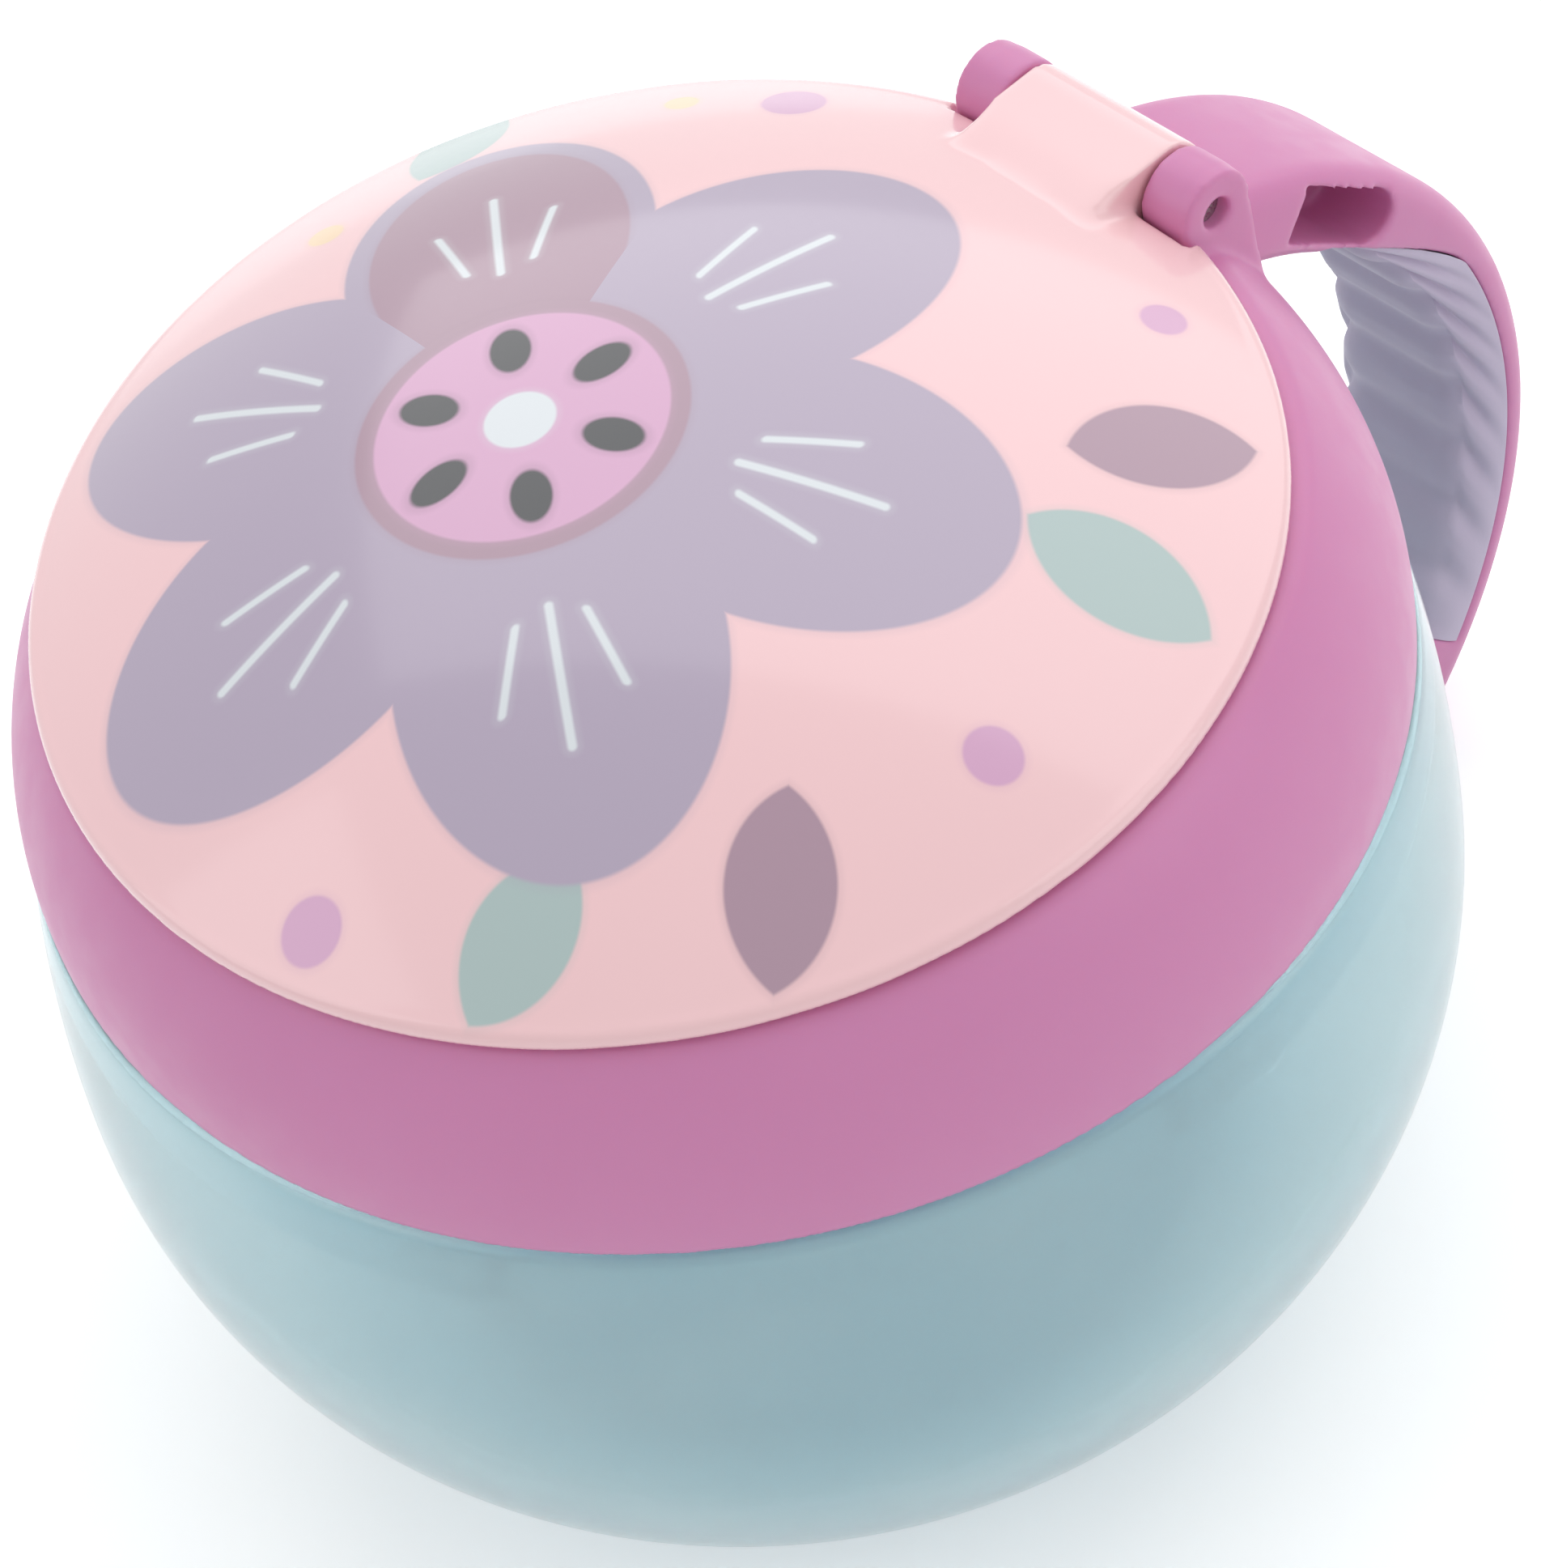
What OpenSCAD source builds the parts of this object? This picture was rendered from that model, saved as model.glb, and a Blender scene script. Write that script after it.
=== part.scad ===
// Toddler snack container: a translucent cup, a screw collar with its handle,
// a soft flap mouth and a domed lid that hinges on a steel pin.
// Millimetres, +Z up, origin at the centre of the cup's flat base, +Y towards the handle.

/* [Cup] */
// Widest diameter of the cup
cup_d = 106; // [96:1:120]
// Height of the cup's shoulder over its base
cup_h = 55.5; // [52:0.5:70]
// Height of the widest place over the base
belly_z = 36; // [32:1:40]
// Radius of the sweep from the base up to the widest place
corner_r = 41; // [41:1:46]
// Radius of the gentle curve from the widest place up to the shoulder
side_r = 100; // [80:5:160]
// Wall of the cup
cup_wall = 2.2; // [1.6:0.1:3]
// Floor of the cup
cup_floor = 2.6; // [2:0.1:4]
// Height of the neck over the shoulder
neck_h = 9.9; // [8:0.1:14]
// Wall of the neck
neck_wall = 2.4; // [1.8:0.1:3]

/* [Collar] */
// How far the collar's lower edge stands inside the cup's widest place
collar_step = 2; // [1:0.1:4]
// Wall of the collar at its lower edge
collar_wall = 4.1; // [3.6:0.1:5]
// Room between neck and collar for the thread
thread_room = 0.9; // [0.6:0.1:1.4]
// Width of collar that shows round the lid
collar_show = 6; // [5:0.1:8]
// Height of the lid's seat over the collar's lower edge
seat_h = 17.6; // [17:0.1:22]
// Thickness of the roof that holds the soft mouth
roof_t = 2.5; // [2:0.1:3]
// Width of the roof from the neck's outside to the mouth
roof_w = 9; // [8:0.1:10]
// Width of the ledge under the lid's rim
ledge_w = 4.2; // [3.6:0.1:4.4]
// Thickness of the sealing ring on the neck
seal_t = 1.5; // [1:0.1:2]

/* [Lid] */
// Rise of the dome over the rim's top edge
dome_h = 12; // [8:0.5:16]
// Height of the rim's upright edge
rim_h = 1.2; // [0.8:0.1:2]
// Wall of the lid
lid_wall = 2.2; // [1.6:0.1:3]
// Slope of the lid, rising to the hinge
lid_tilt = 1.8; // [0:0.1:3]
// How far the lid stands forward of the cup's axis
lid_shift = 2; // [1:0.1:3]
// Depth of the rib under the lid, below the rim
rib_depth = 0.8; // [0.4:0.1:1]
// Thickness of that rib
rib_t = 1.6; // [1.2:0.1:2.4]

/* [Hinge] */
// Distance of the pin behind the lid's rim
hinge_back = 0.8; // [0.4:0.1:2]
// Height of the pin over the rim's lower edge
hinge_up = 1.8; // [1.4:0.1:2.6]
// Radius of the knuckle
knuckle_r = 3.5; // [3:0.1:4]
// Width of the lid's knuckle
knuckle_w = 14.1; // [12:0.1:16]
// Width of each ear's round boss
boss_w = 2.9; // [2:0.1:4]
// Thickness of each ear's outer plate
plate_w = 1.6; // [1.2:0.1:2.4]
// Radius of the steel pin
pin_r = 1.2; // [1:0.05:1.5]
// How deep each pin end lies in its hole
pin_sunk = 1.2; // [0.6:0.1:1.6]

/* [Handle] */
// Room for fingers between the cup's widest place and the grip
finger_gap = 17.8; // [16:0.2:24]
// Radius of the handle's outer curve
handle_r = 41.7; // [40:0.1:43]
// Thickness of the handle
handle_t = 7.4; // [6.4:0.1:8]
// Width of the handle
handle_w = 16; // [14:0.5:20]
// Height of the handle's free end over the ground
tip_z = 2; // [2:0.1:8]
// Rounding of the handle's edges
edge_r = 2.2; // [1.2:0.1:2.6]
// Thickness of the hard strip behind the soft grip
strip_t = 2.8; // [2:0.1:3.4]
// Ridges across the grip
ridges = 8; // [6:1:10]
// Depth of the hollows between ridges
ridge_h = 0.6; // [0.3:0.1:0.8]
// Width of the pocket in the handle's side
pocket_w = 4.4; // [3.6:0.1:4.6]
// Length of the pocket along the handle
pocket_l = 11.6; // [8:0.1:12]
// Depth of the pocket from each side
pocket_depth = 7; // [5:0.1:7.2]

/* [Soft mouth] */
// Thickness of the flaps
flap_t = 1.2; // [1:0.1:1.6]
// Width of the slits between flaps
slit_w = 0.8; // [0.5:0.1:1.2]
// Radius of the hole where the slits meet
centre_r = 2.5; // [2:0.1:5]
// Wall of the grommet where it passes through the collar's mouth
waist_wall = 2; // [1.6:0.1:3]
// Thickness of the grommet's two flanges
flange_t = 1; // [0.8:0.1:1.2]
// Width of the grommet's upper flange
flange_w = 3; // [2:0.1:3.4]

/* [Fits] */
// Gap between pieces that sit on each other
seat_gap = 0.05; // [0.05:0.01:0.2]
// Gap between the cup's shoulder and the collar's edge
edge_gap = 0.5; // [0.3:0.1:1]
// Gap between the lid's rim and the collar's lip
rim_gap = 0.4; // [0.3:0.1:0.8]
// Gap round the moving knuckle
hinge_gap = 0.3; // [0.25:0.05:0.5]
// Radial running clearance of the pin
pin_gap = 0.05; // [0.02:0.01:0.1]

/* [Hidden] */
$fn = 96;
eps = 0.01;
big = 200;

// As many flaps as the list of nodes holds
flap_n = 6;

// Levels and radii of the cup and the collar
cup_r = cup_d / 2;
base_z = cup_h + edge_gap;
collar_r = cup_r - collar_step;
neck_r = collar_r - collar_wall - thread_room;
neck_in = neck_r - neck_wall;
bore_r = neck_r + thread_room;
neck_z = cup_h + neck_h;
roof_z = neck_z + seal_t + 2 * seat_gap;
roof_top = roof_z + roof_t;
mouth_r = neck_r - roof_w;

// The lid's own frame, and the hinge in the part's frame
lid_r = collar_r - collar_show;
lid_z = base_z + seat_h;
dome_r = (lid_r * lid_r + dome_h * dome_h) / (2 * dome_h);
dome_c = rim_h + dome_h - dome_r;
hinge_out = lid_r + hinge_back;
hinge_y = hinge_out * cos(lid_tilt) - hinge_up * sin(lid_tilt) - lid_shift;
hinge_z = lid_z + hinge_out * sin(lid_tilt) + hinge_up * cos(lid_tilt);
rib_in = 7;
rib_r = lid_r - rib_in;
ear_x = knuckle_w / 2 + hinge_gap;
ear_out = ear_x + boss_w + plate_w;
lip_out = 1.2;
lip_r = lid_r + lip_out;

// The collar's outside is an arc, upright low down, that meets the lip at its top
upright_h = 2;
upright_z = base_z + upright_h;
arc_in = collar_r - lip_r;
arc_up = lid_z - rim_gap - upright_z;
arc_r = (arc_in * arc_in + arc_up * arc_up) / (2 * arc_in);

// The handle is an arc about an axis along X, from the collar's top to its free end
back_y = cup_r + finger_gap + handle_t;
arc_y = back_y - handle_r;
root_rise = 3.1;
root_in = 1.6;
arc_z = roof_top + root_rise - sqrt(handle_r * handle_r - (lip_r - arc_y) * (lip_r - arc_y));
mid_r = handle_r - handle_t / 2;
root_a = acos((lip_r - root_in - arc_y) / handle_r);
tip_a = asin((tip_z + handle_t / 2 - arc_z) / mid_r);
grip_top_a = 56;
grip_low_a = tip_a + 6;
grip_lean = -36;
grip_lip = 0.8;
pocket_a = 51.5;
pocket_r = mid_r + 0.2;
hollow_r = 5;

// Insets that shape the ears, and the reach and slope of the knuckle's arm over the dome
ear_inset = 0.1;
ear_flare = 0.4;
ear_slope = 0.6;
ear_foot = roof_top - 3;
arm_l = 9;
arm_top = 2.2;
arm_low = 0.5;
arm_root = 3;

// Draws a flat outline given as (y, z) as a slab between two places along X
module slab(x0, x1) {
    translate([x0, 0, 0]) rotate([90, 0, 90]) linear_extrude(x1 - x0) children();
}

module lid_frame() {
    translate([0, -lid_shift, lid_z]) rotate([lid_tilt, 0, 0]) children();
}

// Half outline of the cup's body, drawn in by an inset
module bowl_half(inset) {
    low = inset > 0 ? cup_floor : 0;
    high = cup_h - inset;
    intersection() {
        union() {
            translate([cup_r - corner_r, belly_z]) circle(r = corner_r - inset);
            square([cup_r - corner_r, belly_z]);
        }
        translate([0, low]) square([big, belly_z - low]);
    }
    intersection() {
        translate([cup_r - side_r, belly_z]) circle(r = side_r - inset);
        translate([0, belly_z]) square([big, high - belly_z]);
    }
}

module cup() {
    color([0.62, 0.78, 0.82, 0.7]) rotate_extrude() difference() {
        union() {
            bowl_half(0);
            translate([0, belly_z]) square([neck_r, neck_z - belly_z]);
        }
        bowl_half(cup_wall);
        translate([0, belly_z]) square([neck_in, neck_z]);
    }
}

module cup_seal() {
    inset = 0.2;
    color([0.93, 0.93, 0.92]) translate([0, 0, neck_z + seat_gap]) difference() {
        cylinder(h = seal_t, r = neck_r - inset);
        translate([0, 0, -1]) cylinder(h = seal_t + 2, r = neck_in + inset);
    }
}

module collar_ring() {
    difference() {
        rotate_extrude() difference() {
            intersection() {
                translate([collar_r - arc_r, upright_z]) circle(r = arc_r, $fn = 180);
                translate([mouth_r, base_z]) square([big, big]);
            }
            translate([0, base_z - 1]) square([bore_r, roof_z - base_z + 1]);
            translate([0, roof_top]) square([lip_r - ledge_w, big]);
        }
        lid_frame() translate([-big / 2, -big / 2, -rim_gap]) cube([big, big, big]);
    }
}

module ear_outline() {
    reach = knuckle_r - ear_inset;
    translate([hinge_y, hinge_z]) circle(r = reach);
    polygon([[hinge_y - reach, hinge_z], [hinge_y + reach - ear_inset, hinge_z + ear_slope],
        [hinge_y + knuckle_r + ear_flare, ear_foot], [hinge_y - reach, ear_foot]]);
}

module ears() {
    for (side = [0, 1]) mirror([side, 0, 0]) {
        slab(ear_out - plate_w, ear_out) ear_outline();
        slab(ear_x, ear_out - plate_w + eps) {
            translate([hinge_y, hinge_z]) circle(r = knuckle_r);
            translate([hinge_y - knuckle_r + ear_slope, ear_foot])
                square([2 * knuckle_r - 2 * ear_slope, hinge_z - ear_foot]);
        }
    }
}

// Turns an outline or solid so that its own Z lies along X, at the handle's axis
module about_handle() {
    translate([0, arc_y, arc_z]) rotate([90, 0, 90]) children();
}

// Rectangle with rounded corners, its lower left corner at the origin
module rounded(w, h, r) {
    translate([r, 0]) square([w - 2 * r, h]);
    translate([0, r]) square([w, h - 2 * r]);
    for (x = [r, w - r], y = [r, h - r]) translate([x, y]) circle(r = r, $fn = 32);
}

// The whole arc of the handle, before the grip is parted off
module handle_arc() {
    about_handle() rotate([0, 0, tip_a]) rotate_extrude(angle = root_a - tip_a)
        translate([handle_r - handle_t, -handle_w / 2]) rounded(handle_t, handle_w, edge_r);
}

// The rounded free end
module handle_end() {
    about_handle() rotate([0, 0, tip_a]) translate([mid_r, 0, 0]) rotate_extrude() intersection() {
        translate([-handle_t / 2, -handle_w / 2]) rounded(handle_t, handle_w, edge_r);
        translate([0, -handle_w]) square([handle_w, 2 * handle_w]);
    }
}

// Side view of the soft part: inside the hard strip by a gap, below a leaning line
module grip_side(gap) {
    top = (handle_r - handle_t + grip_lip) * [cos(grip_top_a), sin(grip_top_a)];
    run = [cos(grip_lean), sin(grip_lean)];
    low = [cos(grip_low_a), sin(grip_low_a)];
    intersection() {
        circle(r = handle_r - strip_t - gap, $fn = 180);
        polygon([[0, 0], low * big, top + run * big, top]);
    }
}

// The hollows between the ridges, in the same view
module grip_hollows() {
    span = (grip_top_a - grip_low_a) / (ridges + 1);
    for (k = [0 : ridges - 1]) rotate(grip_low_a + span * (k + 0.5))
        translate([handle_r - handle_t - hollow_r + ridge_h, 0]) circle(r = hollow_r);
}

module grip_slab() {
    slab(-handle_w, handle_w) translate([arc_y, arc_z]) children();
}

module pocket() {
    about_handle() rotate([0, 0, pocket_a]) translate([pocket_r, 0, handle_w / 2 - pocket_depth])
        linear_extrude(pocket_depth + 1) {
            translate([-pocket_w / 2, -(pocket_l - pocket_w) / 2])
                square([pocket_w, pocket_l - pocket_w / 2]);
            translate([0, -(pocket_l - pocket_w) / 2]) circle(d = pocket_w);
        }
}

module collar() {
    color([0.83, 0.5, 0.7]) difference() {
        union() {
            difference() {
                union() {
                    collar_ring();
                    difference() {
                        handle_arc();
                        grip_slab() grip_side(0);
                    }
                    handle_end();
                }
                for (side = [0, 1]) mirror([side, 0, 0]) pocket();
                translate([0, 0, roof_top]) cylinder(h = big, r = lip_r - ledge_w);
            }
            ears();
        }
        translate([0, 0, base_z - 1]) cylinder(h = roof_z - base_z + 1, r = bore_r);
        translate([-ear_x, hinge_y, hinge_z]) rotate([0, 90, 0])
            cylinder(h = 2 * ear_x, r = knuckle_r + hinge_gap);
        translate([-ear_out - 1, hinge_y, hinge_z]) rotate([0, 90, 0])
            cylinder(h = 2 * ear_out + 2, r = pin_r + pin_gap);
    }
}

module handle_grip() {
    color([0.56, 0.53, 0.62]) intersection() {
        handle_arc();
        grip_slab() difference() {
            grip_side(seat_gap);
            grip_hollows();
        }
    }
}

module lid() {
    color([0.98, 0.83, 0.83]) difference() {
        union() {
            lid_frame() rotate_extrude() {
                difference() {
                    intersection() {
                        translate([0, dome_c]) circle(r = dome_r, $fn = 240);
                        square([lid_r, big]);
                    }
                    intersection() {
                        translate([0, dome_c]) circle(r = dome_r - lid_wall, $fn = 240);
                        translate([0, -1]) square([lid_r - lid_wall, big]);
                    }
                }
                intersection() {
                    translate([0, dome_c]) circle(r = dome_r - lid_wall / 2, $fn = 240);
                    translate([rib_r - rib_t, -rib_depth]) square([rib_t, big]);
                }
            }
            translate([-knuckle_w / 2, hinge_y, hinge_z]) rotate([0, 90, 0])
                cylinder(h = knuckle_w, r = knuckle_r);
            slab(-knuckle_w / 2, knuckle_w / 2) polygon([
                [hinge_y, hinge_z + knuckle_r], [hinge_y - arm_l, hinge_z + arm_top],
                [hinge_y - arm_l, hinge_z - arm_low], [hinge_y - arm_root, hinge_z - hinge_up],
                [hinge_y, hinge_z - hinge_up]]);
        }
        for (side = [0, 1]) mirror([side, 0, 0])
            translate([knuckle_w / 2, hinge_y, hinge_z]) rotate([0, 90, 0])
                cylinder(h = ear_out + rim_gap - knuckle_w / 2, r = knuckle_r + 2 * hinge_gap);
        translate([-knuckle_w, hinge_y, hinge_z]) rotate([0, 90, 0])
            cylinder(h = 2 * knuckle_w, r = pin_r + pin_gap);
    }
}

module hinge_pin() {
    half = ear_out - pin_sunk;
    color([0.7, 0.7, 0.72]) translate([-half, hinge_y, hinge_z]) rotate([0, 90, 0])
        cylinder(h = 2 * half, r = pin_r);
}

// The grommet and its flaps
low_flange_w = 2;
waist_r = mouth_r - seat_gap;
web_z = roof_z + roof_t / 2 - flap_t / 2;
fold_rim = 0.8;
fold_r = (waist_r - waist_wall - fold_rim) * cos(180 / flap_n);
fold_gap = 0.3;

module flap_ring() {
    color([0.9, 0.86, 0.87]) difference() {
        rotate_extrude() difference() {
            union() {
                translate([0, roof_top + seat_gap]) square([mouth_r + flange_w, flange_t]);
                translate([0, roof_z - seat_gap - flange_t]) square([mouth_r + low_flange_w, flange_t]);
                translate([0, roof_z - seat_gap - flange_t])
                    square([waist_r, roof_t + 2 * seat_gap + 2 * flange_t]);
            }
            translate([0, web_z + flap_t]) square([waist_r - waist_wall, big]);
            translate([0, 0]) square([waist_r - waist_wall, web_z]);
        }
        translate([0, 0, web_z - 1]) rotate([0, 0, 180 / flap_n])
            cylinder(h = flap_t + 2, r = fold_r / cos(180 / flap_n), $fn = flap_n);
    }
}

module flap(k) {
    turn = 360 / flap_n;
    color([0.93, 0.89, 0.9]) rotate([0, 0, turn * k]) translate([0, 0, web_z]) difference() {
        intersection() {
            linear_extrude(flap_t) polygon([[0, 0],
                [fold_r - fold_gap, (fold_r - fold_gap) * tan(turn / 2)],
                [fold_r - fold_gap, -(fold_r - fold_gap) * tan(turn / 2)]]);
            translate([slit_w / 2 / sin(turn / 2), 0, 0]) linear_extrude(flap_t) polygon([[0, 0],
                [big * cos(turn / 2), big * sin(turn / 2)], [big * cos(turn / 2), -big * sin(turn / 2)]]);
        }
        translate([0, 0, -1]) cylinder(h = flap_t + 2, r = centre_r);
    }
}

cup();
cup_seal();
collar();
handle_grip();
flap_ring();
for (k = [1 : flap_n]) flap(k);
lid();
hinge_pin();
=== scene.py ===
"""Toddler snack container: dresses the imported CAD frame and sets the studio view."""

import math

import bmesh
import bpy
from mathutils import Matrix, Vector


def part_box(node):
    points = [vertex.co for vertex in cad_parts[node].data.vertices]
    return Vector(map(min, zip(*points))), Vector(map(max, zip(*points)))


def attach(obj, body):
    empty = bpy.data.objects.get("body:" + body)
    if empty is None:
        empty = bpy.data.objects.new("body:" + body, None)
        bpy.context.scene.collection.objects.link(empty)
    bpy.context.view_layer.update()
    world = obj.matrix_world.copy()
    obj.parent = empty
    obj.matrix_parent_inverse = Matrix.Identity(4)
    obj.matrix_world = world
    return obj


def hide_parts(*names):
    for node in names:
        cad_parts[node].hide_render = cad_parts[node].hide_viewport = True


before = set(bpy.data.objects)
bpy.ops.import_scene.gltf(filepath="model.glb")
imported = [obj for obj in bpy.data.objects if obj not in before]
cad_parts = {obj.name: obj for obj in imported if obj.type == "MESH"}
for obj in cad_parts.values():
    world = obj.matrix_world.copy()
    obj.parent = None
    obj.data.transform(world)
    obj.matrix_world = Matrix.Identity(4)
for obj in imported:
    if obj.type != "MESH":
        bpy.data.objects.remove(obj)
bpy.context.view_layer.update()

MM = 0.001
TAU = 2 * math.pi

# Sizes in millimetres, the cup's and collar's own, as in the construction
CUP_LOW, CUP_HIGH = (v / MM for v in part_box("cup"))
CUP_R = 53.0
NECK_TOP = CUP_HIGH.z
NECK_H = 9.9
SHOULDER_Z = NECK_TOP - NECK_H
BELLY_Z = 36.0
CORNER_R = 41.0
SIDE_R = 100.0
CUP_WALL = 2.2
CUP_FLOOR = 2.6
COLLAR_R = CUP_R - 2.0
NECK_R = COLLAR_R - 5.0
NECK_IN = NECK_R - 2.4
BORE_R = NECK_R + 0.9
COLLAR_Z = SHOULDER_Z + 0.5
ROOF_Z = NECK_TOP + 1.6
ROOF_TOP = ROOF_Z + 2.5
MOUTH_R = NECK_R - 9.0
LEDGE_W = 4.2
ROOT_IN = 1.6

# The lid's own frame
LID_R = COLLAR_R - 6.0
LID_Z = COLLAR_Z + 17.6
LID_TILT = math.radians(1.8)
LID_SHIFT = 2.0
RIM_GAP = 0.4
RIM_H = 1.2
DOME_H = 12.0
LID_WALL = 2.2
DOME_R = (LID_R ** 2 + DOME_H ** 2) / (2 * DOME_H)
DOME_C = RIM_H + DOME_H - DOME_R
LIP_R = LID_R + 1.2
LEDGE_R = LIP_R - LEDGE_W
SHOWN_LIP_R = LID_R + 0.3
LIP_SOFT = 1.2

# Hinge
PIN_LOW, PIN_HIGH = (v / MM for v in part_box("hinge_pin"))
HINGE_Y = (PIN_LOW.y + PIN_HIGH.y) / 2
HINGE_Z = (PIN_LOW.z + PIN_HIGH.z) / 2
KNUCKLE_R = 3.5
KNUCKLE_HALF = 7.05
EAR_IN = 7.35
EAR_STEP = 10.25
EAR_OUT = 11.85
HINGE_GAP = 0.3
PIN_HOLE_R = 1.25

# Handle
HANDLE_R = 41.7
HANDLE_T = 7.4
HANDLE_W = 16.0
STRIP_T = 2.8
EDGE_R = 2.2
BACK_Y = CUP_R + 17.8 + HANDLE_T
ARC_Y = BACK_Y - HANDLE_R
ARC_Z = ROOF_TOP + 3.1 - math.sqrt(HANDLE_R ** 2 - (LIP_R - ARC_Y) ** 2)
MID_R = HANDLE_R - HANDLE_T / 2
ROOT_A = math.acos((LIP_R - ROOT_IN - ARC_Y) / HANDLE_R)
TIP_A = math.asin((2.0 + HANDLE_T / 2 - ARC_Z) / MID_R)
GRIP_TOP_A = math.radians(56)
GRIP_LOW_A = TIP_A + math.radians(6)
GRIP_LEAN = math.radians(-36)
GRIP_LIP = 0.8
GRIP_CORNER = 4.0
RIDGES = 8


def srgb(r, g, b):
    """A colour as 8-bit sRGB, turned into the linear values that shaders take."""
    def linear(c):
        c = c / 255
        return c / 12.92 if c <= 0.04045 else ((c + 0.055) / 1.055) ** 2.4
    return (linear(r), linear(g), linear(b), 1.0)


# Mesh helpers, all in millimetres until the object is made

def make_object(name, verts, faces, sharp=32):
    mesh = bpy.data.meshes.new(name)
    mesh.from_pydata([Vector(v) * MM for v in verts], [], faces)
    mesh.validate()
    obj = bpy.data.objects.new(name, mesh)
    bpy.context.scene.collection.objects.link(obj)
    tidy_normals(obj)
    shade(obj, sharp)
    return obj


def tidy_normals(obj):
    bm = bmesh.new()
    bm.from_mesh(obj.data)
    bmesh.ops.remove_doubles(bm, verts=bm.verts, dist=1e-7)
    bmesh.ops.recalc_face_normals(bm, faces=bm.faces)
    bm.to_mesh(obj.data)
    bm.free()


def shade(obj, sharp=32):
    obj.data.polygons.foreach_set("use_smooth", [True] * len(obj.data.polygons))
    obj.data.set_sharp_from_angle(angle=math.radians(sharp))


def arc(cx, cz, r, a0, a1, n):
    """Points on an arc, angles in degrees."""
    return [(cx + r * math.cos(math.radians(a0 + (a1 - a0) * i / n)),
             cz + r * math.sin(math.radians(a0 + (a1 - a0) * i / n))) for i in range(n + 1)]


def skin(rings, loop_rows=False, loop_cols=True):
    """Faces over rings with the same number of points each, capped where they don't loop."""
    n = len(rings[0])
    m = len(rings)
    verts = [p for ring in rings for p in ring]
    faces = []
    for j in range(m if loop_rows else m - 1):
        k = (j + 1) % m
        for i in range(n if loop_cols else n - 1):
            q = (i + 1) % n
            faces.append((j * n + i, j * n + q, k * n + q, k * n + i))
    if not loop_rows:
        faces.append(tuple(range(n))[::-1])
        faces.append(tuple((m - 1) * n + i for i in range(n)))
    return verts, faces


def revolve(name, profile, steps=224, sharp=32, wrap=True):
    """An outline turned about Z. profile(angle) gives its (r, z) points, from axis to axis
    unless it wraps round to its start."""
    rings = []
    for j in range(steps):
        a = TAU * j / steps
        rings.append([(r * math.cos(a), r * math.sin(a), z) for r, z in profile(a)])
    verts, faces = skin(rings, loop_rows=True, loop_cols=wrap)
    return make_object(name, verts, faces, sharp)


def about_handle(r, a, x):
    """A point at radius r and angle a of the handle's arc, at x across it."""
    return (x, ARC_Y + r * math.cos(a), ARC_Z + r * math.sin(a))


def section(r0, r1, half, round0, round1, n=6):
    """A section from radius r0 to r1, as (r, x), with its corners rounded."""
    pts = []
    for cr, cx, rr, a0 in ((r1, half, round1, 0), (r1, -half, round1, 270),
                           (r0, -half, round0, 180), (r0, half, round0, 90)):
        sr = 1 if cr == r1 else -1
        sx = 1 if cx > 0 else -1
        for i in range(n + 1):
            a = math.radians(a0 + 90 * (1 - i / n))
            pts.append((cr - sr * rr + rr * math.cos(a) , cx - sx * rr + rr * math.sin(a)))
    return pts


def boolean(target, cutter, operation, keep=False):
    mod = target.modifiers.new("cut", "BOOLEAN")
    mod.operation = operation
    mod.solver = "MANIFOLD"
    mod.object = cutter
    apply_modifiers(target)
    if not keep:
        bpy.data.objects.remove(cutter)
    return target


def apply_modifiers(obj):
    graph = bpy.context.evaluated_depsgraph_get()
    graph.update()
    mesh = bpy.data.meshes.new_from_object(obj.evaluated_get(graph))
    obj.modifiers.clear()
    old = obj.data
    obj.data = mesh
    bpy.data.meshes.remove(old)


def bevel(obj, width, segments=3, angle=32):
    mod = obj.modifiers.new("edges", "BEVEL")
    mod.width = width * MM
    mod.segments = segments
    mod.limit_method = "ANGLE"
    mod.angle_limit = math.radians(angle)
    mod.use_clamp_overlap = True
    mod.miter_outer = "MITER_ARC"
    return mod


def bar_x(name, y, z, r, x0, x1, steps=72):
    """A round bar along X."""
    rings = []
    for x in (x0, x1):
        rings.append([(x, y + r * math.cos(TAU * i / steps), z + r * math.sin(TAU * i / steps))
                      for i in range(steps)])
    verts, faces = skin(rings)
    return make_object(name, verts, faces)


def prism_x(name, outline, x0, x1):
    """An outline of (y, z) points as a prism along X."""
    verts, faces = skin([[(x, y, z) for y, z in outline] for x in (x0, x1)])
    return make_object(name, verts, faces)


def blend_in(obj, voxel, passes):
    """Fuses a piece's parts into one skin with softly rounded edges, as moulded."""
    mod = obj.modifiers.new("fuse", "REMESH")
    mod.mode = "VOXEL"
    mod.voxel_size = voxel * MM
    mod.adaptivity = 0.0
    soft = obj.modifiers.new("soften", "SMOOTH")
    soft.factor = 0.5
    soft.iterations = passes
    apply_modifiers(obj)


def soften_near(obj, near, passes):
    """Rounds the places where near(point in mm) is over zero more strongly."""
    group = obj.vertex_groups.new(name="near")
    for vert in obj.data.vertices:
        weight = near(vert.co / MM)
        if weight > 0:
            group.add([vert.index], min(weight, 1.0), "REPLACE")
    soft = obj.modifiers.new("soften", "SMOOTH")
    soft.factor = 0.5
    soft.iterations = passes
    soft.vertex_group = "near"
    apply_modifiers(obj)
    obj.vertex_groups.clear()


def join(target, *others):
    with bpy.context.temp_override(active_object=target, selected_editable_objects=[target, *others]):
        bpy.ops.object.join()
    return target


# The cup

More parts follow.
